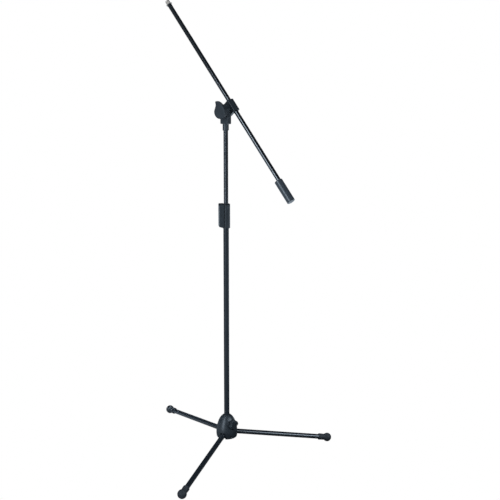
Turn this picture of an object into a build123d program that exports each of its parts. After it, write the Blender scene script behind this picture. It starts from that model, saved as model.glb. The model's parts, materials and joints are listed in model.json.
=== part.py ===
from build123d import *
import os
from math import cos, radians, sin, sqrt

# Boom microphone stand: a three-legged base, a two-stage mast and a tilting, sliding boom.
# Origin on the floor under the mast, +Z up, one leg along +X.

# ---- driving dimensions, millimetres and degrees ----
LEG_AZIMUTHS = {"a": 0.0, "b": 120.0, "c": 240.0}
LEG_DROOP = 8.19
LEG_RADIUS = 9.0
LEG_BORE = 7.8
PIN_REACH = 28.0
PIN_HEIGHT = 60.0
LEG_OFFSET = 7.89
FOOT_REACH = 390.1
FOOT_HEIGHT = 15.7
FOOT_RADIUS = 16.25

HUB_BOTTOM = 53.0
HUB_TOP = 137.0
HUB_BORE = 10.7
HUB_KNOB_AZIMUTH = -60.0
HUB_KNOB_HEIGHT = 110.0
HUB_KNOB_RADIUS = 18.6
LINER_RADIUS = 12.9
LINER_BOTTOM = 92.0

LOWER_RADIUS = 10.0
LOWER_BORE = 8.8
LOWER_BOTTOM = HUB_BOTTOM - 0.5
LOWER_TOP = 925.0
UPPER_RADIUS = 8.0
UPPER_BORE = 6.9
UPPER_BOTTOM = 466.0
UPPER_TOP = 1222.0
RUNNING_FIT = 0.06

CLUTCH_RADIUS = 14.5
CLUTCH_BOTTOM = 857.0
CLUTCH_TOP = 944.0
CLUTCH_FLAT = 12.4
LEVER_PIN_OUT = 18.0
LEVER_PIN_HEIGHT = 926.0
LEVER_REACH = 26.0

PIVOT_HEIGHT = 1274.0
BOOM_AZIMUTH = 130.0
BOOM_RISE = 48.2
COLLAR_RADIUS = 10.75
COLLAR_BOTTOM = 1202.0
HEAD_BOTTOM = 1224.0
HEAD_WIDTH = 34.0
HEAD_THICKNESS = 19.5
BOLT_RADIUS = 3.0
CLAMP_HIGH = 25.0
CLAMP_LENGTH = 46.0
CLAMP_FACE = 13.0
CLAMP_GAP = 0.8
CLAMP_OUTER = 37.5
BOOM_SIDE = 26.1
BOOM_LIFT = 12.9
BOOM_RADIUS = 7.75
BOOM_BORE = 6.65
BOOM_TIP = 478.0
THREAD_RADIUS = 7.94
THREAD_LENGTH = 14.5
FLANGE_RADIUS = 11.0
FLANGE_THICKNESS = 2.5
WEIGHT_RADIUS = 14.25
WEIGHT_LENGTH = 86.0
WEIGHT_START = 313.0
WEIGHT_DROP = 3.4

os.makedirs("parts", exist_ok=True)


# ---- local frames ----
def leg_vectors(azimuth):
    """Unit vectors along the leg, across it (tangential) and square to both (upward)."""
    ca = cos(radians(azimuth))
    sa = sin(radians(azimuth))
    cd = cos(radians(LEG_DROOP))
    sd = sin(radians(LEG_DROOP))
    along = Vector(ca * cd, sa * cd, -sd)
    across = Vector(-sa, ca, 0)
    upward = Vector(ca * sd, sa * sd, cd)
    return along, across, upward


def pin_point(azimuth):
    """Middle of a leg's hinge pin."""
    ca = cos(radians(azimuth))
    sa = sin(radians(azimuth))
    return Vector(PIN_REACH * ca, PIN_REACH * sa, PIN_HEIGHT)


def leg_section(azimuth, along_mm, up_mm=LEG_OFFSET):
    """Plane square to the leg; its normal points to the foot and its y axis points up."""
    along, across, upward = leg_vectors(azimuth)
    origin = pin_point(azimuth) + along * along_mm + upward * up_mm
    return Plane(origin=origin, x_dir=across, z_dir=along)


def leg_side(azimuth, across_mm=0.0):
    """Plane in which the leg hinges, origin on the pin, x axis along the leg, y axis up."""
    along, across, upward = leg_vectors(azimuth)
    origin = pin_point(azimuth) + across * across_mm
    return Plane(origin=origin, x_dir=along, z_dir=across * -1)


def upright_side(azimuth, across_mm=0.0):
    """Upright plane through the hinge pin, x axis radial, y axis up."""
    ca = cos(radians(azimuth))
    sa = sin(radians(azimuth))
    across = Vector(-sa, ca, 0)
    origin = pin_point(azimuth) + across * across_mm
    return Plane(origin=origin, x_dir=Vector(ca, sa, 0), z_dir=across * -1)


def radial_plane(azimuth, reach, height):
    """Plane facing outward from the mast axis, y axis up."""
    ca = cos(radians(azimuth))
    sa = sin(radians(azimuth))
    origin = Vector(reach * ca, reach * sa, height)
    return Plane(origin=origin, x_dir=Vector(-sa, ca, 0), z_dir=Vector(ca, sa, 0))


LEAN = Vector(cos(radians(BOOM_AZIMUTH)), sin(radians(BOOM_AZIMUTH)), 0)
TILT_AXIS = Vector(LEAN.Y, -LEAN.X, 0)
BOOM_DIR = LEAN * cos(radians(BOOM_RISE)) + Vector(0, 0, 1) * sin(radians(BOOM_RISE))
BOOM_UP = LEAN * -sin(radians(BOOM_RISE)) + Vector(0, 0, 1) * cos(radians(BOOM_RISE))
PIVOT = Vector(0, 0, PIVOT_HEIGHT)
BOOM_CENTRE = PIVOT + TILT_AXIS * BOOM_SIDE + BOOM_UP * BOOM_LIFT


def tilt_plane(out_mm):
    """Plane square to the tilt axis; x axis along the boom's lean and y axis up."""
    return Plane(origin=PIVOT + TILT_AXIS * out_mm, x_dir=LEAN, z_dir=TILT_AXIS)


def clamp_plane(along_mm):
    """Plane square to the boom; x axis along the tilt axis, y axis on the boom's upper side."""
    origin = PIVOT + BOOM_DIR * along_mm
    return Plane(origin=origin, x_dir=TILT_AXIS, z_dir=BOOM_DIR * -1)


def boom_plane(along_mm, up_mm=0.0):
    """Plane square to the boom on its centre line, normal toward the microphone end."""
    origin = BOOM_CENTRE + BOOM_DIR * along_mm + BOOM_UP * up_mm
    return Plane(origin=origin, x_dir=TILT_AXIS * -1, z_dir=BOOM_DIR)


def save(builder, name):
    """Label one finished part and write its STEP file."""
    builder.part.label = name
    export_step(builder.part, f"parts/{name}.step")


# ---- hub ----
HUB_PROFILE = [
    (13.4, HUB_TOP), (17.5, 134.0), (24.5, 126.0), (30.0, 115.8), (34.0, 104.5),
    (37.3, 92.0), (39.2, 79.0), (39.6, 68.0), (39.2, 60.0), (38.3, HUB_BOTTOM),
]
LINER_TOP = HUB_TOP + 1.5
LINER_LIP = HUB_TOP - 0.5
LINER_CHAMFER = 0.7
SLOT_WIDTH = 19.6
SLOT_SWEEP = 20.2
SLOT_BACK = -7.1
SLOT_BACK_TOP = 18.9
SLOT_MOUTH = 20.0
SLOT_MOUTH_TOP = 14.5
SLOT_FLOOR = -20.0
EYE_SWEEP = 12.2
HINGE_PIN_RADIUS = 3.0
HINGE_PIN_LENGTH = 50.0
HINGE_PIN_CHAMFER = 0.5
PIN_RECESS_RADIUS = 5.0
PIN_RECESS_START = 25.5
RECESS_DEPTH = 10.0
KNOB_BORE_RADIUS = 5.0
INSERT_OUTER = 33.5
INSERT_INNER = 17.0
SCREW_RADIUS = 4.0
KNOB_SEAT_REACH = 34.0
KNOB_SEAT_RADIUS = HUB_KNOB_RADIUS + 1.5

with BuildPart() as hub_body:
    with BuildSketch(Plane.XZ):
        with BuildLine():
            Spline(*HUB_PROFILE)
            Polyline(
                HUB_PROFILE[-1], (HUB_BORE, HUB_BOTTOM), (HUB_BORE, LINER_BOTTOM),
                (LINER_RADIUS, LINER_BOTTOM), (LINER_RADIUS, LINER_LIP), HUB_PROFILE[0],
            )
        make_face()
    revolve(axis=Axis.Z)
    with BuildSketch(radial_plane(HUB_KNOB_AZIMUTH, KNOB_SEAT_REACH, HUB_KNOB_HEIGHT)):
        Circle(KNOB_SEAT_RADIUS)
    extrude(amount=RECESS_DEPTH, mode=Mode.SUBTRACT)
    for azimuth in LEG_AZIMUTHS.values():
        with BuildSketch(upright_side(azimuth)):
            Circle(EYE_SWEEP)
            with BuildLine():
                Polyline(
                    (SLOT_BACK, 0), (SLOT_BACK, SLOT_BACK_TOP), (0, SLOT_SWEEP),
                    (SLOT_MOUTH, SLOT_MOUTH_TOP), (SLOT_MOUTH, SLOT_FLOOR), (SLOT_BACK, SLOT_FLOOR),
                    close=True,
                )
            make_face()
        extrude(amount=SLOT_WIDTH / 2, both=True, mode=Mode.SUBTRACT)
        with BuildSketch(upright_side(azimuth)):
            Circle(HINGE_PIN_RADIUS)
        extrude(amount=HINGE_PIN_LENGTH, both=True, mode=Mode.SUBTRACT)
        for side in (-1, 1):
            with BuildSketch(upright_side(azimuth, side * PIN_RECESS_START)):
                Circle(PIN_RECESS_RADIUS)
            extrude(amount=-side * RECESS_DEPTH, mode=Mode.SUBTRACT)
    with BuildSketch(radial_plane(HUB_KNOB_AZIMUTH, 0, HUB_KNOB_HEIGHT)):
        Circle(KNOB_BORE_RADIUS)
    extrude(amount=KNOB_SEAT_REACH + RECESS_DEPTH, mode=Mode.SUBTRACT)
save(hub_body, "hub_body")

with BuildPart() as hub_liner:
    with BuildSketch(Plane.XY.offset(LINER_BOTTOM)):
        Circle(LINER_RADIUS)
        Circle(LOWER_RADIUS + RUNNING_FIT, mode=Mode.SUBTRACT)
    extrude(amount=LINER_TOP - LINER_BOTTOM)
    with BuildSketch(radial_plane(HUB_KNOB_AZIMUTH, 0, HUB_KNOB_HEIGHT)):
        Circle(KNOB_BORE_RADIUS)
    extrude(amount=2 * LINER_RADIUS, mode=Mode.SUBTRACT)
    chamfer(hub_liner.edges().group_by(Axis.Z)[-1], length=LINER_CHAMFER)
save(hub_liner, "hub_liner")

with BuildPart() as hub_insert:
    with BuildSketch(radial_plane(HUB_KNOB_AZIMUTH, INSERT_INNER, HUB_KNOB_HEIGHT)):
        Circle(KNOB_BORE_RADIUS)
        Circle(SCREW_RADIUS + RUNNING_FIT, mode=Mode.SUBTRACT)
    extrude(amount=INSERT_OUTER - INSERT_INNER)
save(hub_insert, "hub_insert")

with BuildPart() as leg_pivot_pins:
    for azimuth in LEG_AZIMUTHS.values():
        with BuildSketch(upright_side(azimuth)):
            Circle(HINGE_PIN_RADIUS)
        extrude(amount=HINGE_PIN_LENGTH / 2, both=True)
    chamfer(leg_pivot_pins.edges().filter_by(GeomType.CIRCLE), length=HINGE_PIN_CHAMFER)
save(leg_pivot_pins, "leg_pivot_pins")

# ---- hub knob ----
KNOB_BACK = KNOB_SEAT_REACH + 0.6
KNOB_DEPTH = 13.0
KNOB_LOBES = 4
LOBE_GAP_RADIUS = 7.0
LOBE_GAP_REACH = 21.0
LOBE_GAP_ANGLE = 65.0
LOBE_ROUND = 3.5
KNOB_ROUND = 1.8
KNOB_DISH_RADIUS = 6.5
KNOB_DISH_DEPTH = 2.0
SCREW_IN_KNOB = 8.0
SCREW_TIP = LOWER_RADIUS + 0.4

with BuildPart() as hub_knob:
    with BuildSketch(radial_plane(HUB_KNOB_AZIMUTH, KNOB_BACK, HUB_KNOB_HEIGHT)):
        Circle(HUB_KNOB_RADIUS)
        with PolarLocations(LOBE_GAP_REACH, KNOB_LOBES, start_angle=LOBE_GAP_ANGLE):
            Circle(LOBE_GAP_RADIUS, mode=Mode.SUBTRACT)
        fillet(vertices(), radius=LOBE_ROUND)
    extrude(amount=KNOB_DEPTH)
    KNOB_AXIS = Axis((0, 0, HUB_KNOB_HEIGHT), radial_plane(HUB_KNOB_AZIMUTH, 0, 0).z_dir)
    fillet(hub_knob.faces().sort_by(KNOB_AXIS)[-1].edges(), radius=KNOB_ROUND)
    with BuildSketch(radial_plane(HUB_KNOB_AZIMUTH, KNOB_BACK + KNOB_DEPTH, HUB_KNOB_HEIGHT)):
        Circle(KNOB_DISH_RADIUS)
    extrude(amount=-KNOB_DISH_DEPTH, mode=Mode.SUBTRACT)
    with BuildSketch(radial_plane(HUB_KNOB_AZIMUTH, KNOB_BACK, HUB_KNOB_HEIGHT)):
        Circle(SCREW_RADIUS)
    extrude(amount=SCREW_IN_KNOB, mode=Mode.SUBTRACT)
save(hub_knob, "hub_knob")

with BuildPart() as hub_knob_screw:
    with BuildSketch(radial_plane(HUB_KNOB_AZIMUTH, SCREW_TIP, HUB_KNOB_HEIGHT)):
        Circle(SCREW_RADIUS)
    extrude(amount=KNOB_BACK + SCREW_IN_KNOB - SCREW_TIP)
save(hub_knob_screw, "hub_knob_screw")

# ---- legs ----
TUBE_START = 5.0
EYE_RADIUS = 7.2
FITTING_WIDTH = 17.6
FITTING_TOP = 16.6
FITTING_STEP = -1.0
FITTING_TOE = (4.0, -5.9)
SPIGOT_END = 34.0
RIVET_AT = 24.0
RIVET_RADIUS = 1.8
RIVET_HEAD_RADIUS = 3.2
RIVET_HEAD = 0.9
CUT_MARGIN = 1.0
SLEEVE_START = -34.0
SLEEVE_RADIUS = 12.2
SLEEVE_CHAMFER = 0.8
WAIST_RADIUS = 11.2
WAIST_FLARE = 0.2
WAIST_LENGTH = 4.0
FOOT_END = 14.6
FOOT_ALONG = (FOOT_REACH - PIN_REACH) * cos(radians(LEG_DROOP)) - (FOOT_HEIGHT - PIN_HEIGHT) * sin(
    radians(LEG_DROOP))
TUBE_END = FOOT_ALONG - 6.0


def make_leg_tube(azimuth):
    with BuildPart() as tube:
        with BuildSketch(leg_section(azimuth, TUBE_START)):
            Circle(LEG_RADIUS)
            Circle(LEG_BORE, mode=Mode.SUBTRACT)
        extrude(amount=TUBE_END - TUBE_START)
        with BuildSketch(leg_side(azimuth)):
            with Locations((RIVET_AT, LEG_OFFSET)):
                Circle(RIVET_RADIUS)
        extrude(amount=LEG_RADIUS + CUT_MARGIN, both=True, mode=Mode.SUBTRACT)
    return tube


def make_leg_fitting(azimuth):
    """Hinge eye with a stop face on top and a spigot that plugs the leg tube."""
    with BuildPart() as fitting:
        with BuildSketch(leg_side(azimuth)):
            Circle(EYE_RADIUS)
            with BuildLine():
                Polyline((-EYE_RADIUS, 0), (-EYE_RADIUS, FITTING_TOP), (TUBE_START, FITTING_TOP),
                         (TUBE_START, FITTING_STEP), FITTING_TOE, (-EYE_RADIUS, 0), close=True)
            make_face()
        extrude(amount=FITTING_WIDTH / 2, both=True)
        with BuildSketch(leg_section(azimuth, TUBE_START)):
            Circle(LEG_RADIUS)
        extrude(amount=EYE_RADIUS, mode=Mode.SUBTRACT)
        with BuildSketch(leg_section(azimuth, TUBE_START)):
            Circle(LEG_BORE)
        extrude(amount=SPIGOT_END - TUBE_START)
        with BuildSketch(leg_side(azimuth)):
            Circle(HINGE_PIN_RADIUS + RUNNING_FIT)
            with Locations((RIVET_AT, LEG_OFFSET)):
                Circle(RIVET_RADIUS)
        extrude(amount=FITTING_WIDTH, both=True, mode=Mode.SUBTRACT)
    return fitting


def make_leg_rivet(azimuth):
    """Cross rivet; its heads sit on the round of the tube."""
    with BuildPart() as rivet:
        with BuildSketch(leg_side(azimuth)):
            with Locations((RIVET_AT, LEG_OFFSET)):
                Circle(RIVET_HEAD_RADIUS)
        extrude(amount=LEG_RADIUS + RIVET_HEAD, both=True)
        with BuildSketch(leg_section(azimuth, RIVET_AT - RIVET_HEAD_RADIUS - CUT_MARGIN)):
            Circle(LEG_RADIUS)
        extrude(amount=2 * (RIVET_HEAD_RADIUS + CUT_MARGIN), mode=Mode.SUBTRACT)
        with BuildSketch(leg_side(azimuth)):
            with Locations((RIVET_AT, LEG_OFFSET)):
                Circle(RIVET_RADIUS)
        extrude(amount=LEG_RADIUS + RIVET_HEAD / 2, both=True)
    return rivet


def make_foot(azimuth):
    """Rubber foot: a sleeve on the leg, a waist and a ball with a small flat on the floor."""
    along, across, upward = leg_vectors(azimuth)
    centre = pin_point(azimuth) + along * FOOT_ALONG + upward * LEG_OFFSET
    rim = sqrt(FOOT_RADIUS**2 - FOOT_END**2)
    neck = -sqrt(FOOT_RADIUS**2 - WAIST_RADIUS**2)
    with BuildPart() as foot:
        with BuildSketch(Plane(origin=centre, x_dir=along, z_dir=across * -1)):
            with BuildLine():
                Polyline(
                    (FOOT_END, 0), (SLEEVE_START, 0), (SLEEVE_START, SLEEVE_RADIUS - SLEEVE_CHAMFER),
                    (SLEEVE_START + SLEEVE_CHAMFER, SLEEVE_RADIUS),
                    (neck - WAIST_LENGTH, WAIST_RADIUS + WAIST_FLARE), (neck, WAIST_RADIUS),
                )
                ThreePointArc((neck, WAIST_RADIUS), (0, FOOT_RADIUS), (FOOT_END, rim))
                Line((FOOT_END, rim), (FOOT_END, 0))
            make_face()
        revolve(axis=Axis(centre, along))
        with BuildSketch(leg_section(azimuth, FOOT_ALONG + SLEEVE_START)):
            Circle(LEG_RADIUS)
        extrude(amount=TUBE_END - FOOT_ALONG - SLEEVE_START, mode=Mode.SUBTRACT)
        with BuildSketch(Plane.XY):
            with Locations((centre.X, centre.Y)):
                Circle(2 * FOOT_RADIUS)
        extrude(amount=-FOOT_RADIUS, mode=Mode.SUBTRACT)
    return foot


for tag, azimuth in LEG_AZIMUTHS.items():
    save(make_leg_tube(azimuth), f"leg_tube_{tag}")
    save(make_leg_fitting(azimuth), f"leg_fitting_{tag}")
    save(make_leg_rivet(azimuth), f"leg_rivet_{tag}")
    save(make_foot(azimuth), f"foot_{tag}")

# ---- lower mast tube ----
PLUG_FLANGE_RADIUS = 11.8
PLUG_FLANGE = 4.0
PLUG_SPIGOT = 20.0
PLUG_CHAMFER = 1.0

with BuildPart() as lower_tube:
    with BuildSketch(Plane.XY.offset(LOWER_BOTTOM)):
        Circle(LOWER_RADIUS)
        Circle(LOWER_BORE, mode=Mode.SUBTRACT)
    extrude(amount=LOWER_TOP - LOWER_BOTTOM)
save(lower_tube, "lower_tube")

with BuildPart() as lower_tube_plug:
    with BuildSketch(Plane.XY.offset(LOWER_BOTTOM - PLUG_FLANGE)):
        Circle(PLUG_FLANGE_RADIUS)
    extrude(amount=PLUG_FLANGE)
    chamfer(lower_tube_plug.edges().group_by(Axis.Z)[0], length=PLUG_CHAMFER)
    with BuildSketch(Plane.XY.offset(LOWER_BOTTOM)):
        Circle(LOWER_BORE)
    extrude(amount=PLUG_SPIGOT)
save(lower_tube_plug, "lower_tube_plug")

# ---- height clutch ----
CAP_BOTTOM = CLUTCH_TOP - 4.0
CAP_BORE = 8.6
CAP_CHAMFER = 1.5
CLUTCH_CHAMFER = 1.0
BUSH_OUTER = 11.2
BUSH_BOTTOM = LOWER_TOP + 0.5
BUSH_TOP = CAP_BOTTOM - 0.3
SPINE_WIDTH = 14.0
SPINE_PROFILE = [(-11.5, 868.0), (-16.5, 868.0), (-20.6, 918.0), (-20.8, 929.5), (-11.5, 929.5)]
LEVER_WIDTH = 31.6
LEVER_INNER = -8.8
LEVER_TOP = 943.8
LEVER_PROFILE = [
    (-LEVER_REACH, 864.0), (-LEVER_REACH, 939.5), (-24.0, LEVER_TOP), (LEVER_INNER, LEVER_TOP),
    (LEVER_INNER, 859.0),
]
LEVER_ROUND = 2.5
CHANNEL_WIDTH = 28.4
CHANNEL_OUT = -22.5
CHANNEL_TOP = 930.6
BRIDGE_INNER = -14.8
LEVER_PIN_RADIUS = 1.5
LEVER_PIN_LENGTH = 30.8
WINDOW_BOTTOM = 930.8
WINDOW_TOP = 939.2
WINDOW_WIDTH = 7.0
WINDOW_DEPTH = 4.0
NOSE_WIDTH = 6.0
NOSE_HEIGHT = WINDOW_TOP - WINDOW_BOTTOM - 1.6
NOSE_ROOT = -16.0
PAD_OUT = -12.8
PAD_IN = -11.0
PAD_GAP = 0.35
WINDOW_MIDDLE = (WINDOW_BOTTOM + WINDOW_TOP) / 2

with BuildPart() as clutch_body:
    with BuildSketch(Plane.XY.offset(CLUTCH_BOTTOM)):
        Circle(CLUTCH_RADIUS)
    extrude(amount=CAP_BOTTOM - CLUTCH_BOTTOM)
    chamfer(clutch_body.edges().group_by(Axis.Z)[0], length=CLUTCH_CHAMFER)
    with BuildSketch(Plane.YZ.offset(-CLUTCH_FLAT)):
        with Locations((0, (CLUTCH_BOTTOM + CLUTCH_TOP) / 2)):
            Rectangle(2 * CLUTCH_RADIUS, 2 * (CLUTCH_TOP - CLUTCH_BOTTOM))
    extrude(amount=-CLUTCH_RADIUS, mode=Mode.SUBTRACT)
    with BuildSketch(Plane.XZ):
        with BuildLine():
            Polyline(*SPINE_PROFILE, close=True)
        make_face()
    extrude(amount=SPINE_WIDTH / 2, both=True)
    with BuildSketch(Plane.XY.offset(CLUTCH_BOTTOM)):
        Circle(LOWER_RADIUS)
    extrude(amount=LOWER_TOP - CLUTCH_BOTTOM, mode=Mode.SUBTRACT)
    with BuildSketch(Plane.XY.offset(LOWER_TOP)):
        Circle(BUSH_OUTER + RUNNING_FIT)
    extrude(amount=CAP_BOTTOM - LOWER_TOP, mode=Mode.SUBTRACT)
    with Locations((-CLUTCH_FLAT, 0, WINDOW_MIDDLE)):
        Box(WINDOW_DEPTH, WINDOW_WIDTH, WINDOW_TOP - WINDOW_BOTTOM, mode=Mode.SUBTRACT)
    with BuildSketch(Plane.XZ):
        with Locations((-LEVER_PIN_OUT, LEVER_PIN_HEIGHT)):
            Circle(LEVER_PIN_RADIUS)
    extrude(amount=LEVER_WIDTH, both=True, mode=Mode.SUBTRACT)
save(clutch_body, "clutch_body")

with BuildPart() as clutch_cap:
    with BuildSketch(Plane.XY.offset(CAP_BOTTOM)):
        Circle(CLUTCH_RADIUS)
    extrude(amount=CLUTCH_TOP - CAP_BOTTOM)
    chamfer(clutch_cap.edges().group_by(Axis.Z)[-1], length=CAP_CHAMFER)
    with BuildSketch(Plane.XY.offset(CAP_BOTTOM)):
        Circle(CAP_BORE)
    extrude(amount=CLUTCH_TOP - CAP_BOTTOM, mode=Mode.SUBTRACT)
    with BuildSketch(Plane.YZ.offset(-CLUTCH_FLAT)):
        with Locations((0, CLUTCH_TOP)):
            Rectangle(2 * CLUTCH_RADIUS, 4 * (CLUTCH_TOP - CAP_BOTTOM))
    extrude(amount=-CLUTCH_RADIUS, mode=Mode.SUBTRACT)
save(clutch_cap, "clutch_cap")

with BuildPart() as guide_bush:
    with BuildSketch(Plane.XY.offset(BUSH_BOTTOM)):
        Circle(BUSH_OUTER)
        Circle(UPPER_RADIUS + RUNNING_FIT, mode=Mode.SUBTRACT)
    extrude(amount=BUSH_TOP - BUSH_BOTTOM)
save(guide_bush, "guide_bush")

with BuildPart() as clutch_lever_pin:
    with BuildSketch(Plane.XZ):
        with Locations((-LEVER_PIN_OUT, LEVER_PIN_HEIGHT)):
            Circle(LEVER_PIN_RADIUS)
    extrude(amount=LEVER_PIN_LENGTH / 2, both=True)
save(clutch_lever_pin, "clutch_lever_pin")

with BuildPart() as clutch_lever:
    with BuildSketch(Plane.XZ):
        with BuildLine():
            Polyline(*LEVER_PROFILE, close=True)
        make_face()
    extrude(amount=LEVER_WIDTH / 2, both=True)
    fillet(clutch_lever.edges().filter_by(Axis.Z).group_by(Axis.X)[0], radius=LEVER_ROUND)
    with BuildSketch(Plane.XY.offset(CHANNEL_TOP)):
        with Locations((CHANNEL_OUT / 2, 0)):
            Rectangle(-CHANNEL_OUT, CHANNEL_WIDTH)
    extrude(amount=CLUTCH_BOTTOM - CHANNEL_TOP, mode=Mode.SUBTRACT)
    with BuildSketch(Plane.XY.offset(CHANNEL_TOP)):
        with Locations((BRIDGE_INNER / 2, 0)):
            Rectangle(-BRIDGE_INNER, CHANNEL_WIDTH)
    extrude(amount=CLUTCH_TOP - CHANNEL_TOP, mode=Mode.SUBTRACT)
    with Locations(((PAD_OUT + NOSE_ROOT) / 2, 0, WINDOW_MIDDLE)):
        Box(PAD_OUT - NOSE_ROOT, NOSE_WIDTH, NOSE_HEIGHT)
    with BuildSketch(Plane.XZ):
        with Locations((-LEVER_PIN_OUT, LEVER_PIN_HEIGHT)):
            Circle(LEVER_PIN_RADIUS + RUNNING_FIT)
    extrude(amount=LEVER_WIDTH, both=True, mode=Mode.SUBTRACT)
save(clutch_lever, "clutch_lever")

with BuildPart() as lever_pad:
    with Locations(((PAD_OUT + PAD_IN) / 2, 0, WINDOW_MIDDLE)):
        Box(PAD_IN - PAD_OUT, NOSE_WIDTH, NOSE_HEIGHT)
    with BuildSketch(Plane.XY.offset(WINDOW_BOTTOM)):
        Circle(BUSH_OUTER + PAD_GAP)
    extrude(amount=WINDOW_TOP - WINDOW_BOTTOM, mode=Mode.SUBTRACT)
save(lever_pad, "lever_pad")

# ---- upper mast tube ----
GUIDE_RADIUS = LOWER_BORE - RUNNING_FIT
GUIDE_FOOT = 10.0
GUIDE_SLEEVE = 22.0
GUIDE_SPIGOT = 14.0
GUIDE_CHAMFER = 1.0

with BuildPart() as upper_tube:
    with BuildSketch(Plane.XY.offset(UPPER_BOTTOM)):
        Circle(UPPER_RADIUS)
        Circle(UPPER_BORE, mode=Mode.SUBTRACT)
    extrude(amount=UPPER_TOP - UPPER_BOTTOM)
save(upper_tube, "upper_tube")

with BuildPart() as upper_tube_guide:
    with BuildSketch(Plane.XY.offset(UPPER_BOTTOM - GUIDE_FOOT)):
        Circle(GUIDE_RADIUS)
    extrude(amount=GUIDE_FOOT)
    chamfer(upper_tube_guide.edges().group_by(Axis.Z)[0], length=GUIDE_CHAMFER)
    with BuildSketch(Plane.XY.offset(UPPER_BOTTOM)):
        Circle(GUIDE_RADIUS)
        Circle(UPPER_RADIUS, mode=Mode.SUBTRACT)
    extrude(amount=GUIDE_SLEEVE)
    with BuildSketch(Plane.XY.offset(UPPER_BOTTOM)):
        Circle(UPPER_BORE)
    extrude(amount=GUIDE_SPIGOT)
save(upper_tube_guide, "upper_tube_guide")

# ---- tilter head ----
SHOULDER_HEIGHT = 1250.0
SHOULDER_TOP = 1266.0
SHOULDER_HALF = 12.5
HEAD_TOP_RADIUS = 14.0
HEAD_CORNER = 3.5
HEAD_ROUND = 1.2
COLLAR_OVERLAP = 2.0
COLLAR_CHAMFER = 0.9
WASHER_RADIUS = 13.0
WASHER_FACE = HEAD_THICKNESS / 2
WASHER_THICKNESS = 1.2
WASHER_BORE = BOLT_RADIUS + 0.2
KNOB_WASHER_RADIUS = 8.5
KNOB_WASHER_THICKNESS = 1.5
HALF_WIDTH = HEAD_WIDTH / 2
DOWN_BOTTOM = HEAD_BOTTOM - PIVOT_HEIGHT
DOWN_SHOULDER = SHOULDER_HEIGHT - PIVOT_HEIGHT
DOWN_TOP = SHOULDER_TOP - PIVOT_HEIGHT

with BuildPart() as tilter_head:
    with BuildSketch(tilt_plane(0)):
        Circle(HEAD_TOP_RADIUS)
        with BuildLine():
            Polyline(
                (-HALF_WIDTH, DOWN_BOTTOM), (-HALF_WIDTH, DOWN_SHOULDER), (-SHOULDER_HALF, DOWN_TOP),
                (SHOULDER_HALF, DOWN_TOP), (HALF_WIDTH, DOWN_SHOULDER), (HALF_WIDTH, DOWN_BOTTOM),
                close=True,
            )
        make_face()
        fillet(vertices().group_by(Axis.Y)[0], radius=HEAD_CORNER)
    extrude(amount=HEAD_THICKNESS / 2, both=True)
    fillet(tilter_head.edges().filter_by(Axis.Z), radius=HEAD_ROUND)
    with BuildSketch(Plane.XY.offset(COLLAR_BOTTOM)):
        Circle(COLLAR_RADIUS)
    extrude(amount=HEAD_BOTTOM - COLLAR_BOTTOM + COLLAR_OVERLAP)
    chamfer(tilter_head.edges().group_by(Axis.Z)[0], length=COLLAR_CHAMFER)
    with BuildSketch(Plane.XY.offset(COLLAR_BOTTOM)):
        Circle(UPPER_RADIUS)
    extrude(amount=UPPER_TOP - COLLAR_BOTTOM, mode=Mode.SUBTRACT)
    with BuildSketch(tilt_plane(0)):
        Circle(BOLT_RADIUS + RUNNING_FIT)
    extrude(amount=HEAD_THICKNESS, both=True, mode=Mode.SUBTRACT)
save(tilter_head, "tilter_head")

with BuildPart() as friction_washer:
    with BuildSketch(tilt_plane(WASHER_FACE)):
        Circle(WASHER_RADIUS)
        Circle(WASHER_BORE, mode=Mode.SUBTRACT)
    extrude(amount=WASHER_THICKNESS)
save(friction_washer, "friction_washer")

with BuildPart() as knob_washer:
    with BuildSketch(tilt_plane(-WASHER_FACE)):
        Circle(KNOB_WASHER_RADIUS)
        Circle(WASHER_BORE, mode=Mode.SUBTRACT)
    extrude(amount=-KNOB_WASHER_THICKNESS)
save(knob_washer, "knob_washer")

# ---- boom clamp ----
BOSS_RADIUS = 15.0
BOSS_START = 11.1
BOSS_OVERLAP = 1.0
LINER_OUTER = 9.0
LINER_SETBACK = 1.0
LINER_INNER = BOOM_RADIUS + RUNNING_FIT
SEAT_RADIUS = LINER_OUTER + RUNNING_FIT
HOLDER_EDGE = BOOM_SIDE - CLAMP_GAP / 2
JAW_EDGE = BOOM_SIDE + CLAMP_GAP / 2
CLAMP_BOTTOM = -12.0
CLAMP_RIDGE = 19.3
CLAMP_TOP = 24.2
HOLDER_ROUND = 3.0
JAW_BOTTOM = 1.5
JAW_CHAMFER = 2.5
JAW_SHOULDER = 8.0
JAW_EAR_RADIUS = 8.5
BOLT_HEAD_RADIUS = 6.5
BOLT_HEAD = 3.0
BOLT_CHAMFER = 0.8
BOLT_START = -28.0

with BuildPart() as boom_holder:
    with BuildSketch(clamp_plane(CLAMP_HIGH)):
        with BuildLine():
            Polyline((CLAMP_FACE, CLAMP_BOTTOM), (CLAMP_FACE, CLAMP_RIDGE), (HOLDER_EDGE, CLAMP_TOP),
                     (HOLDER_EDGE, CLAMP_BOTTOM), close=True)
        make_face()
        fillet(vertices().group_by(Axis.X)[0], radius=HOLDER_ROUND)
    extrude(amount=CLAMP_LENGTH)
    with BuildSketch(tilt_plane(BOSS_START)):
        Circle(BOSS_RADIUS)
    extrude(amount=CLAMP_FACE - BOSS_START + BOSS_OVERLAP)
    with BuildSketch(boom_plane(-CLAMP_LENGTH)):
        Circle(SEAT_RADIUS)
    extrude(amount=2 * CLAMP_LENGTH, mode=Mode.SUBTRACT)
    with BuildSketch(tilt_plane(0)):
        Circle(BOLT_RADIUS)
    extrude(amount=2 * CLAMP_OUTER, mode=Mode.SUBTRACT)
save(boom_holder, "boom_holder")

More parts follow.
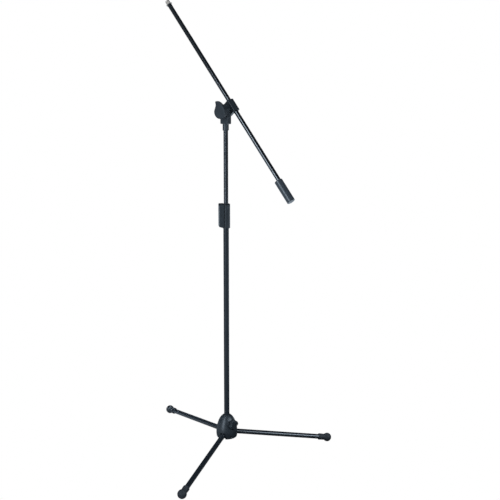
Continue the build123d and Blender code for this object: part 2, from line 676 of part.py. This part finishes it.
with BuildPart() as boom_jaw:
    with BuildSketch(clamp_plane(CLAMP_HIGH)):
        with BuildLine():
            Polyline((JAW_EDGE, JAW_BOTTOM), (JAW_EDGE, CLAMP_TOP),
                     (CLAMP_OUTER - JAW_CHAMFER, CLAMP_TOP), (CLAMP_OUTER, CLAMP_TOP - JAW_CHAMFER),
                     (CLAMP_OUTER, JAW_SHOULDER), (CLAMP_OUTER - 2 * JAW_CHAMFER, JAW_BOTTOM),
                     close=True)
        make_face()
    extrude(amount=CLAMP_LENGTH)
    with BuildSketch(tilt_plane(JAW_EDGE)):
        Circle(JAW_EAR_RADIUS)
    extrude(amount=CLAMP_OUTER - JAW_EDGE)
    with BuildSketch(boom_plane(-CLAMP_LENGTH)):
        Circle(SEAT_RADIUS)
    extrude(amount=2 * CLAMP_LENGTH, mode=Mode.SUBTRACT)
    with BuildSketch(tilt_plane(0)):
        Circle(BOLT_RADIUS)
    extrude(amount=2 * CLAMP_OUTER, mode=Mode.SUBTRACT)
save(boom_jaw, "boom_jaw")

with BuildPart() as boom_liner:
    with BuildSketch(boom_plane(CLAMP_HIGH - LINER_SETBACK)):
        Circle(LINER_OUTER)
        Circle(LINER_INNER, mode=Mode.SUBTRACT)
    extrude(amount=2 * LINER_SETBACK - CLAMP_LENGTH)
save(boom_liner, "boom_liner")

with BuildPart() as tilter_bolt:
    with BuildSketch(tilt_plane(BOLT_START)):
        Circle(BOLT_RADIUS)
    extrude(amount=CLAMP_OUTER - BOLT_START)
    with BuildSketch(tilt_plane(CLAMP_OUTER)):
        Circle(BOLT_HEAD_RADIUS)
    extrude(amount=BOLT_HEAD)
    chamfer(tilter_bolt.edges().group_by(Axis(PIVOT, TILT_AXIS))[-1], length=BOLT_CHAMFER)
save(tilter_bolt, "tilter_bolt")

# ---- tilter knob ----
KNOB_NECK_RADIUS = 18.0
KNOB_NECK_BACK = -11.5
KNOB_HUB_RADIUS = 22.5
KNOB_HUB_CENTRE = (-1.5, -6.0)
KNOB_HUB_BACK = -17.5
WING_BACK = -24.0
WING_FRONT = -33.0
WING_ROUND = 1.5
INSERT_RADIUS = 5.5
INSERT_FRONT = -28.5
INSERT_SETBACK = 0.3
WING = [
    (19.0, 23.6), (18.8, 8.0), (24.0, -7.0), (19.8, -20.5), (9.0, -28.8), (-4.0, -30.6),
    (-15.0, -27.0), (-22.5, -19.0), (-25.0, -8.0), (-22.0, 4.0), (-14.6, 14.5), (-5.0, 23.0),
    (4.0, 27.4), (12.2, 28.9), (17.6, 27.5),
]

with BuildPart() as tilter_knob:
    with BuildSketch(tilt_plane(WING_FRONT)):
        with BuildLine():
            Spline(*WING, periodic=True)
        make_face()
    extrude(amount=WING_BACK - WING_FRONT)
    fillet(tilter_knob.edges().group_by(Axis(PIVOT, TILT_AXIS))[0], radius=WING_ROUND)
    with BuildSketch(tilt_plane(KNOB_HUB_BACK)):
        with Locations(KNOB_HUB_CENTRE):
            Circle(KNOB_HUB_RADIUS)
    extrude(amount=WING_BACK - KNOB_HUB_BACK)
    with BuildSketch(tilt_plane(KNOB_NECK_BACK)):
        Circle(KNOB_NECK_RADIUS)
    extrude(amount=WING_BACK - KNOB_NECK_BACK)
    with BuildSketch(tilt_plane(KNOB_NECK_BACK)):
        Circle(INSERT_RADIUS)
    extrude(amount=INSERT_FRONT - KNOB_NECK_BACK, mode=Mode.SUBTRACT)
save(tilter_knob, "tilter_knob")

with BuildPart() as knob_insert:
    with BuildSketch(tilt_plane(KNOB_NECK_BACK)):
        Circle(INSERT_RADIUS)
        Circle(BOLT_RADIUS + RUNNING_FIT, mode=Mode.SUBTRACT)
    extrude(amount=INSERT_FRONT + INSERT_SETBACK - KNOB_NECK_BACK)
save(knob_insert, "knob_insert")

# ---- boom ----
TUBE_TIP = BOOM_TIP - THREAD_LENGTH - FLANGE_THICKNESS
WEIGHT_END = WEIGHT_START + WEIGHT_LENGTH
END_CAP = 4.0
TUBE_TAIL = WEIGHT_END - END_CAP
TIP_SPIGOT = 20.0
CAP_SPIGOT = 15.0
WEIGHT_SCREW_AT = 330.0
WEIGHT_SCREW_RADIUS = 2.5
WEIGHT_SCREW_SUNK = 0.8
WEIGHT_CHAMFER = 1.2

with BuildPart() as boom_tube:
    with BuildSketch(boom_plane(-TUBE_TAIL)):
        Circle(BOOM_RADIUS)
        Circle(BOOM_BORE, mode=Mode.SUBTRACT)
    extrude(amount=TUBE_TAIL + TUBE_TIP)
save(boom_tube, "boom_tube")

with BuildPart() as boom_tip:
    with BuildSketch(boom_plane(TUBE_TIP - TIP_SPIGOT)):
        Circle(BOOM_BORE)
    extrude(amount=TIP_SPIGOT)
    with BuildSketch(boom_plane(TUBE_TIP)):
        Circle(FLANGE_RADIUS)
    extrude(amount=FLANGE_THICKNESS)
    with BuildSketch(boom_plane(TUBE_TIP + FLANGE_THICKNESS)):
        Circle(THREAD_RADIUS)
    extrude(amount=THREAD_LENGTH)
save(boom_tip, "boom_tip")

with BuildPart() as counterweight:
    with BuildSketch(boom_plane(-WEIGHT_END, -WEIGHT_DROP)):
        Circle(WEIGHT_RADIUS)
    extrude(amount=WEIGHT_LENGTH)
    chamfer(counterweight.edges().filter_by(GeomType.CIRCLE), length=WEIGHT_CHAMFER)
    with BuildSketch(boom_plane(-WEIGHT_END)):
        Circle(BOOM_RADIUS)
    extrude(amount=WEIGHT_LENGTH, mode=Mode.SUBTRACT)
    with BuildSketch(Plane(
            origin=BOOM_CENTRE - BOOM_DIR * WEIGHT_SCREW_AT, x_dir=BOOM_DIR, z_dir=BOOM_UP * -1)):
        Circle(WEIGHT_SCREW_RADIUS)
    extrude(amount=2 * WEIGHT_RADIUS, mode=Mode.SUBTRACT)
save(counterweight, "counterweight")

with BuildPart() as weight_screw:
    with BuildSketch(Plane(
            origin=BOOM_CENTRE - BOOM_DIR * WEIGHT_SCREW_AT - BOOM_UP * BOOM_RADIUS,
            x_dir=BOOM_DIR, z_dir=BOOM_UP * -1)):
        Circle(WEIGHT_SCREW_RADIUS)
    extrude(amount=WEIGHT_DROP + WEIGHT_RADIUS - BOOM_RADIUS - WEIGHT_SCREW_SUNK)
save(weight_screw, "weight_screw")

with BuildPart() as boom_end_cap:
    with BuildSketch(boom_plane(-WEIGHT_END)):
        Circle(BOOM_RADIUS)
    extrude(amount=END_CAP)
    with BuildSketch(boom_plane(-TUBE_TAIL)):
        Circle(BOOM_BORE)
    extrude(amount=CAP_SPIGOT)
save(boom_end_cap, "boom_end_cap")
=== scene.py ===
import json
from math import ceil, cos, pi, radians, sin

import bpy
from mathutils import Matrix, Vector


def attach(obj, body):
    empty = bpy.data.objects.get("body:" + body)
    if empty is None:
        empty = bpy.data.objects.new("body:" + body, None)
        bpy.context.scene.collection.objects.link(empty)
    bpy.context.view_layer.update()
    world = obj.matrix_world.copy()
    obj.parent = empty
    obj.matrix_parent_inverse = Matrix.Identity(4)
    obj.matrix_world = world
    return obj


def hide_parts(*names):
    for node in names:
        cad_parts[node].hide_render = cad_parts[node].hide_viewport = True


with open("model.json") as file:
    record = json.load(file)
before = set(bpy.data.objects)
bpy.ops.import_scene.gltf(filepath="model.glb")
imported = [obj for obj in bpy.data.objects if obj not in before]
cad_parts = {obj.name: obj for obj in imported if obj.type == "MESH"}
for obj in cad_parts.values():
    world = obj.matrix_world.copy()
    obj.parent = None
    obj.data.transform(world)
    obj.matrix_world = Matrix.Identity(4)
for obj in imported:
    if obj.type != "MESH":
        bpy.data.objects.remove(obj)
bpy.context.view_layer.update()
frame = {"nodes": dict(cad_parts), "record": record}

NODES = frame["nodes"]
MOUNTS = {mount["name"]: mount for mount in frame["record"]["mounts"]}
scene = bpy.context.scene


def direction(azimuth, elevation):
    """Unit vector at that azimuth from +X and elevation above the floor, in degrees."""
    a, e = radians(azimuth), radians(elevation)
    return Vector((cos(a) * cos(e), sin(a) * cos(e), sin(e)))


# ---- camera: 60 mm lens, 2.9 m from the mast and 1.5 m up ----
CAMERA_DISTANCE = 2.9085
CAMERA_HEIGHT = 1.5118
CAMERA_AZIMUTH = -97.04
CAMERA_LOOK = 81.28
CAMERA_DOWN = 14.2
CAMERA_ROLL = 0.2
CAMERA_LENS = 60.32
CAMERA_SENSOR = 36.0

camera = bpy.data.cameras.new("camera")
camera.lens = CAMERA_LENS
camera.sensor_width = CAMERA_SENSOR
camera.dof.use_dof = False
camera_object = bpy.data.objects.new("camera", camera)
scene.collection.objects.link(camera_object)
scene.camera = camera_object
camera_object.location = direction(CAMERA_AZIMUTH, 0) * CAMERA_DISTANCE + Vector((0, 0, CAMERA_HEIGHT))
camera_object.rotation_mode = "QUATERNION"
camera_object.rotation_quaternion = (
    direction(CAMERA_LOOK, -CAMERA_DOWN).to_track_quat("-Z", "Y")
    @ Matrix.Rotation(radians(CAMERA_ROLL), 3, "Z").to_quaternion()
)

# ---- materials: noise scales are per metre, bump depths in metres ----
# Each range is the part of a noise's values, or of a face's upward slope, that an effect spreads over.
TINT_RANGE = (0.35, 0.65)
GLOSS_RANGE = (0.3, 0.7)
STAIN_RANGE = (0.3, 0.7)
DUST_RANGE = (0.42, 0.7)
UPWARD_RANGE = (0.2, 0.95)

PLASTIC_CLOUDS = 38.0
PLASTIC_TINT = 0.2
PLASTIC_GLOSS = 0.05
DUST_PATCHES = 120.0
DUST_COLOUR = (0.16, 0.155, 0.145)
PAINT_CLOUDS = 22.0
PAINT_TINT = 0.18
RUB_MARKS = 160.0
RUB_STRETCH = (1.0, 1.0, 0.12)
FINE_PEEL = 2600.0
FINE_PEEL_SHARE = 0.25
COAT_ROUGHNESS = 0.08
METAL_MARKS = 900.0
METAL_STRETCH = (1.0, 1.0, 0.2)
METAL_STAINS = 90.0
METAL_STAINED = 0.78
METAL_SMOOTHER = 0.06
METAL_ROUGHER = 0.08
SCRATCH_DEPTH = 0.00002


def scaled(colour, share):
    """The same colour, that many times as light."""
    return tuple(share * c for c in colour)


class Graph:
    """One Principled material and short calls that add nodes to it."""

    def __init__(self, name):
        self.material = bpy.data.materials.new(name)
        self.material.use_nodes = True
        self.nodes = self.material.node_tree.nodes
        self.links = self.material.node_tree.links
        self.shader = self.nodes["Principled BSDF"]
        self.coordinates = self.nodes.new("ShaderNodeTexCoord").outputs

    def put(self, **values):
        """Fixed values on the shader's own sockets; underscores stand for spaces."""
        for name, value in values.items():
            self.shader.inputs[name.replace("_", " ")].default_value = value

    def drive(self, name, value):
        """Link a node's output to one of the shader's sockets."""
        self.links.new(value, self.shader.inputs[name])

    def noise(self, scale, detail, roughness, squash=(1, 1, 1)):
        """Noise fixed to the piece; a squash under 1 stretches it along that axis."""
        mapping = self.nodes.new("ShaderNodeMapping")
        mapping.inputs["Scale"].default_value = squash
        texture = self.nodes.new("ShaderNodeTexNoise")
        texture.inputs["Scale"].default_value = scale
        texture.inputs["Detail"].default_value = detail
        texture.inputs["Roughness"].default_value = roughness
        self.links.new(self.coordinates["Object"], mapping.inputs["Vector"])
        self.links.new(mapping.outputs["Vector"], texture.inputs["Vector"])
        return texture.outputs["Fac"]

    def remap(self, value, spread_over, low=0.0, high=1.0):
        """Straight-line map of that range to low..high, held at both ends."""
        node = self.nodes.new("ShaderNodeMapRange")
        node.inputs["From Min"].default_value, node.inputs["From Max"].default_value = spread_over
        node.inputs["To Min"].default_value = low
        node.inputs["To Max"].default_value = high
        self.links.new(value, node.inputs["Value"])
        return node.outputs["Result"]

    def multiply(self, first, second):
        """Product of two outputs."""
        node = self.nodes.new("ShaderNodeMath")
        node.operation = "MULTIPLY"
        self.links.new(first, node.inputs[0])
        self.links.new(second, node.inputs[1])
        return node.outputs["Value"]

    def mix(self, factor, first, second):
        """Blend of two colours, each a tuple or another node's output."""
        node = self.nodes.new("ShaderNodeMix")
        node.data_type = "RGBA"
        self.links.new(factor, node.inputs["Factor"])
        for socket, colour in ((node.inputs[6], first), (node.inputs[7], second)):
            if isinstance(colour, tuple):
                socket.default_value = (*colour, 1)
            else:
                self.links.new(colour, socket)
        return node.outputs[2]

    def tint(self, factor, colour, amount):
        """The colour made darker and lighter by that share."""
        return self.mix(factor, scaled(colour, 1 - amount), scaled(colour, 1 + amount))

    def bump(self, height, depth, before=None):
        """Surface normal for that height, on top of an earlier bump if there is one."""
        node = self.nodes.new("ShaderNodeBump")
        node.inputs["Distance"].default_value = depth
        self.links.new(height, node.inputs["Height"])
        if before is not None:
            self.links.new(before, node.inputs["Normal"])
        return node.outputs["Normal"]

    def facing_up(self):
        """0 on faces that look sideways or down, 1 on faces that look up."""
        split = self.nodes.new("ShaderNodeSeparateXYZ")
        self.links.new(self.coordinates["Normal"], split.inputs["Vector"])
        return self.remap(split.outputs["Z"], UPWARD_RANGE)


def plastic(name, colour, roughness, grain, grain_depth, dust=0.0, specular=0.5):
    """Moulded plastic or rubber: fine texture, faint cloudiness and some dust on top."""
    g = Graph(name)
    g.put(Specular_IOR_Level=specular)
    clouds = g.noise(PLASTIC_CLOUDS, detail=4.0, roughness=0.6)
    body = g.tint(g.remap(clouds, TINT_RANGE), colour, PLASTIC_TINT)
    if dust:
        patches = g.remap(g.noise(DUST_PATCHES, detail=5.0, roughness=0.7), DUST_RANGE, high=dust)
        body = g.mix(g.multiply(patches, g.facing_up()), body, DUST_COLOUR)
    g.drive("Base Color", body)
    gloss = g.remap(clouds, GLOSS_RANGE, roughness - PLASTIC_GLOSS, roughness + PLASTIC_GLOSS)
    g.drive("Roughness", gloss)
    g.drive("Normal", g.bump(g.noise(grain, detail=2.0, roughness=0.6), grain_depth))
    return g.material


def paint(name, colour, roughness, peel, peel_depth, spread=0.05, coat=0.0, specular=0.5):
    """Powder coat or paint on metal: orange peel, uneven gloss and faint rub marks."""
    g = Graph(name)
    g.put(Coat_Weight=coat, Coat_Roughness=COAT_ROUGHNESS, Specular_IOR_Level=specular)
    clouds = g.noise(PAINT_CLOUDS, detail=4.0, roughness=0.6)
    rubs = g.noise(RUB_MARKS, detail=3.0, roughness=0.7, squash=RUB_STRETCH)
    g.drive("Base Color", g.tint(g.remap(rubs, TINT_RANGE), colour, PAINT_TINT))
    g.drive("Roughness", g.remap(clouds, GLOSS_RANGE, roughness - spread, roughness + spread))
    peel_normal = g.bump(g.noise(peel, detail=1.0, roughness=0.4), peel_depth)
    fine_peel = g.noise(FINE_PEEL, detail=2.0, roughness=0.5)
    g.drive("Normal", g.bump(fine_peel, FINE_PEEL_SHARE * peel_depth, peel_normal))
    return g.material


def bare_metal(name, colour, roughness, metallic=1.0):
    """Plated or turned metal with fine marks along one way."""
    g = Graph(name)
    g.put(Metallic=metallic)
    marks = g.noise(METAL_MARKS, detail=3.0, roughness=0.6, squash=METAL_STRETCH)
    stains = g.noise(METAL_STAINS, detail=4.0, roughness=0.6)
    g.drive("Base Color", g.mix(g.remap(stains, STAIN_RANGE), scaled(colour, METAL_STAINED), colour))
    gloss = g.remap(marks, GLOSS_RANGE, roughness - METAL_SMOOTHER, roughness + METAL_ROUGHER)
    g.drive("Roughness", gloss)
    g.drive("Normal", g.bump(marks, SCRATCH_DEPTH))
    return g.material


BLACK = (0.013, 0.0165, 0.020)
KNOB_BLACK = (0.014, 0.0175, 0.021)
LINER_BLACK = (0.010, 0.011, 0.013)
RUBBER_BLACK = (0.013, 0.015, 0.018)
TUBE_BLACK = (0.010, 0.0125, 0.0155)
CAST_BLACK = (0.020, 0.0245, 0.029)
STEEL_BLACK = (0.018, 0.020, 0.023)
WEIGHT_BLACK = (0.034, 0.039, 0.045)
BOOM_BLACK = (0.008, 0.0095, 0.0115)
MAST_BLACK = (0.012, 0.0150, 0.0185)
NICKEL = (0.66, 0.58, 0.51)
BRASS = (0.72, 0.56, 0.28)

MATERIALS = {
    "black_plastic": plastic("moulded_black", BLACK, roughness=0.40, grain=1500.0,
                             grain_depth=0.00004, dust=0.05),
    "knob_plastic": plastic("knob_black", KNOB_BLACK, roughness=0.54, grain=1300.0,
                            grain_depth=0.00004, dust=0.04),
    "liner_plastic": plastic("liner_black", LINER_BLACK, roughness=0.35, grain=900.0,
                             grain_depth=0.00004),
    "foot_rubber": plastic("rubber_black", RUBBER_BLACK, roughness=0.68, grain=1100.0,
                           grain_depth=0.00006, dust=0.16, specular=0.35),
    "black_tube": paint("tube_black", TUBE_BLACK, roughness=0.24, peel=620.0, peel_depth=0.000003),
    "cast_black": paint("cast_black", CAST_BLACK, roughness=0.42, peel=780.0, peel_depth=0.00003),
    "black_steel": paint("steel_black", STEEL_BLACK, roughness=0.32, peel=1200.0, peel_depth=0.00004),
    "weight_iron": paint("weight_black", WEIGHT_BLACK, roughness=0.32, peel=700.0, peel_depth=0.00001),
    "nickel": bare_metal("nickel", NICKEL, roughness=0.42, metallic=0.7),
    "brass": bare_metal("brass", BRASS, roughness=0.28),
}
BOOM_GLOSS = paint("boom_black", BOOM_BLACK, roughness=0.13, peel=520.0, peel_depth=0.000004,
                   spread=0.02, coat=1.0)
MATT_TUBE = paint("mast_black", MAST_BLACK, roughness=0.42, peel=620.0, peel_depth=0.000005,
                  specular=0.24)
LEG_GLOSS = paint("leg_black", TUBE_BLACK, roughness=0.16, peel=620.0, peel_depth=0.000002,
                  spread=0.02, specular=0.9)

for part in frame["record"]["subparts"]:
    mesh = NODES[part["node"]].data
    mesh.materials.clear()
    mesh.materials.append(MATERIALS[part["material_slot"]])
NODES["boom_tube"].data.materials[0] = BOOM_GLOSS
NODES["lower_tube"].data.materials[0] = MATT_TUBE
for leg in "abc":
    NODES["leg_tube_" + leg].data.materials[0] = LEG_GLOSS

# ---- microphone thread and knurled flange on the boom's tip ----
STUD = MOUNTS["microphone_thread"]
STUD_AXIS = Vector(STUD["axis"]).normalized()
STUD_RADIUS = STUD["dims"]["r_mm"] / 1000
STUD_LENGTH = STUD["dims"]["length_mm"] / 1000
STUD_TURN = STUD_AXIS.to_track_quat("Z", "X").to_matrix().to_4x4()
PITCH = 0.00094
THREAD_DEPTH = 0.00058
THREAD_LEAD = 0.0012
THREAD_END_SHARE = 0.35
THREAD_CHAMFER = 0.0008
THREAD_SIDES = 72
STEPS_PER_TURN = 8
FLANGE_RADIUS = 0.0110
FLANGE_THICKNESS = 0.0025
FLANGE_BEVEL = 0.0004
GRIP_RIDGES = 48
GRIP_DEPTH = 0.0004
GRIP_SIDES = 8 * GRIP_RIDGES
SHARP_ANGLE = 30


def lathe(name, rings, sides, radius_at):
    """Closed skin through rings of (radius, height); radius_at may change it round the ring."""
    verts = [(0, 0, rings[0][1])]
    for radius, height in rings:
        for i in range(sides):
            angle = 2 * pi * i / sides
            r = radius_at(radius, angle, height)
            verts.append((r * cos(angle), r * sin(angle), height))
    verts.append((0, 0, rings[-1][1]))
    last = len(verts) - 1
    faces = [(0, 1 + (i + 1) % sides, 1 + i) for i in range(sides)]
    for k in range(len(rings) - 1):
        low, high = 1 + k * sides, 1 + (k + 1) * sides
        for i in range(sides):
            j = (i + 1) % sides
            faces.append((low + i, low + j, high + j, high + i))
    top = 1 + (len(rings) - 1) * sides
    faces += [(last, top + i, top + (i + 1) % sides) for i in range(sides)]
    mesh = bpy.data.meshes.new(name)
    mesh.from_pydata(verts, [], faces)
    return mesh


def thread_radius(radius, angle, height):
    """V groove that climbs one pitch a turn and gets shallower at both ends."""
    phase = (height / PITCH - angle / (2 * pi)) % 1.0
    groove = 1 - abs(2 * phase - 1)
    root_end = max(0.0, height / THREAD_LEAD)
    free_end = max(0.0, (STUD_LENGTH - height) / THREAD_LEAD + THREAD_END_SHARE)
    return radius - THREAD_DEPTH * groove * min(1.0, root_end, free_end)


def grip_radius(radius, angle, _height):
    """Straight knurl on the flange's rim; its bevelled edges stay round."""
    if radius <= FLANGE_RADIUS - FLANGE_BEVEL / 2:
        return radius
    return radius - GRIP_DEPTH * (0.5 + 0.5 * cos(GRIP_RIDGES * angle))


steps = ceil(STUD_LENGTH / PITCH * STEPS_PER_TURN)
stud_rings = []
for k in range(steps + 1):
    height = STUD_LENGTH * k / steps
    stud_rings.append((STUD_RADIUS - max(0.0, height - STUD_LENGTH + THREAD_CHAMFER), height))
flange_rings = [
    (FLANGE_RADIUS - FLANGE_BEVEL, -FLANGE_THICKNESS),
    (FLANGE_RADIUS, FLANGE_BEVEL - FLANGE_THICKNESS),
    (FLANGE_RADIUS, -FLANGE_BEVEL),
    (FLANGE_RADIUS - FLANGE_BEVEL, 0),
]
TIP_FRAME = Matrix.Translation(Vector(STUD["pos_m"]) - STUD_AXIS * STUD_LENGTH / 2) @ STUD_TURN
TIP_MESHES = {
    "tip_thread": lathe("tip_thread", stud_rings, THREAD_SIDES, thread_radius),
    "tip_flange": lathe("tip_flange", flange_rings, GRIP_SIDES, grip_radius),
}
for name, mesh in TIP_MESHES.items():
    mesh.shade_smooth()
    mesh.set_sharp_from_angle(angle=radians(SHARP_ANGLE))
    mesh.materials.append(MATERIALS["nickel"])
    piece = bpy.data.objects.new(name, mesh)
    piece.matrix_world = TIP_FRAME
    scene.collection.objects.link(piece)
    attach(piece, "boom")
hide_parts("boom_tip")

# ---- floor, world and lamps ----
FLOOR_RADIUS = 5.0
FLOOR_SIDES = 96
COOL = (0.80, 0.95, 1.10)


def white_to_camera(tree, around, output):
    """Plain white where the camera looks at it directly, and the dimmer studio in reflections."""
    white = tree.nodes.new(around.bl_idname)
    white.inputs["Color"].default_value = (1, 1, 1, 1)
    path = tree.nodes.new("ShaderNodeLightPath")
    choose = tree.nodes.new("ShaderNodeMixShader")
    tree.links.new(path.outputs["Is Camera Ray"], choose.inputs[0])
    tree.links.new(around.outputs[0], choose.inputs[1])
    tree.links.new(white.outputs[0], choose.inputs[2])
    tree.links.new(choose.outputs[0], output.inputs["Surface"])


def ramp(tree, value, start, end, before, after):
    """Smooth step: before up to start, after beyond end."""
    node = tree.nodes.new("ShaderNodeMapRange")
    node.interpolation_type = "SMOOTHSTEP"
    numbers = {"From Min": start, "From Max": end, "To Min": before, "To Max": after}
    for name, number in numbers.items():
        node.inputs[name].default_value = number
    tree.links.new(value, node.inputs["Value"])
    return node.outputs["Result"]


def along(tree, place, azimuth):
    """How far a place, or a direction in the sky, lies toward that azimuth."""
    node = tree.nodes.new("ShaderNodeVectorMath")
    node.operation = "DOT_PRODUCT"
    node.inputs[1].default_value = direction(azimuth, 0)
    tree.links.new(place, node.inputs[0])
    return node.outputs["Value"]


def multiply_add(tree, first, second, added):
    """first times second, plus added."""
    node = tree.nodes.new("ShaderNodeMath")
    node.operation = "MULTIPLY_ADD"
    for socket, value in zip(node.inputs, (first, second, added)):
        tree.links.new(value, socket)
    return node.outputs["Value"]


floor_mesh = bpy.data.meshes.new("floor")
rim_angles = [2 * pi * i / FLOOR_SIDES for i in range(FLOOR_SIDES)]
rim = [(FLOOR_RADIUS * cos(angle), FLOOR_RADIUS * sin(angle), 0) for angle in rim_angles]
floor_mesh.from_pydata(rim, [], [tuple(range(FLOOR_SIDES))])
floor = bpy.data.objects.new("floor", floor_mesh)
scene.collection.objects.link(floor)

# In reflections the floor is brighter away from the mast and toward the front left, with a bright
# patch behind right of the mast and a faint one by the left leg.
floor_material = bpy.data.materials.new("floor")
floor_material.use_nodes = True
tree = floor_material.node_tree
tree.nodes.remove(tree.nodes["Principled BSDF"])
place = tree.nodes.new("ShaderNodeTexCoord").outputs["Object"]
length = tree.nodes.new("ShaderNodeVectorMath")
length.operation = "LENGTH"
tree.links.new(place, length.inputs[0])
reach = length.outputs["Value"]
away = ramp(tree, reach, start=0.15, end=0.9, before=0.3, after=0.8)
front_left = ramp(tree, along(tree, place, -130), start=-0.4, end=1.0, before=0.06, after=1.0)
behind = ramp(tree, along(tree, place, 50), start=0.5, end=1.0, before=0.0, after=1.3)
left = ramp(tree, along(tree, place, 170), start=0.08, end=0.25, before=0.0, after=0.4)
close = ramp(tree, reach, start=0.5, end=0.9, before=1.0, after=0.0)
wide_glow = multiply_add(tree, away, front_left, behind)
glow = tree.nodes.new("ShaderNodeEmission")
glow.inputs["Color"].default_value = (*COOL, 1)
tree.links.new(multiply_add(tree, left, close, wide_glow), glow.inputs["Strength"])
white_to_camera(tree, glow, tree.nodes["Material Output"])
floor_material.cycles.emission_sampling = "NONE"
floor_mesh.materials.append(floor_material)

world = bpy.data.worlds.new("studio")
scene.world = world
world.use_nodes = True
tree = world.node_tree
around = tree.nodes["Background"]
around.inputs["Color"].default_value = (*COOL, 1)
sky = tree.nodes.new("ShaderNodeTexCoord").outputs["Generated"]
brightness = ramp(tree, along(tree, sky, -155), start=-0.1, end=0.95, before=0.03, after=0.18)
tree.links.new(brightness, around.inputs["Strength"])
white_to_camera(tree, around, tree.nodes["World Output"])
world.cycles.sampling_method = "NONE"


def softbox(name, target, azimuth, elevation, distance, width, height, radiance, spread=180):
    """Square-on area light; radiance is what a mirror would show of it, spread is in degrees."""
    data = bpy.data.lights.new(name, "AREA")
    data.shape = "RECTANGLE"
    data.size = width
    data.size_y = height
    data.color = COOL
    data.spread = radians(spread)
    data.energy = radiance * pi * width * height
    lamp = bpy.data.objects.new(name, data)
    scene.collection.objects.link(lamp)
    lamp.visible_camera = False
    toward_lamp = direction(azimuth, elevation)
    lamp.location = Vector(target) + toward_lamp * distance
    lamp.rotation_mode = "QUATERNION"
    lamp.rotation_quaternion = toward_lamp.to_track_quat("Z", "Y")


softbox("key", target=(0, 0, 1.55), azimuth=-140, elevation=0, distance=2.6,
        width=0.55, height=3.1, radiance=11.0)
softbox("side", target=(0.1, 0, 0.1), azimuth=-42, elevation=35, distance=2.4,
        width=2.3, height=0.75, radiance=2.2, spread=85)
softbox("overhead", target=(0, 0, 1.2), azimuth=120, elevation=64, distance=1.8,
        width=1.2, height=1.0, radiance=5.0)
softbox("left", target=(-0.29, 0.16, 0.03), azimuth=-160, elevation=55, distance=0.9,
        width=0.5, height=0.3, radiance=1.8, spread=20)
scene.view_settings.view_transform = "Standard"
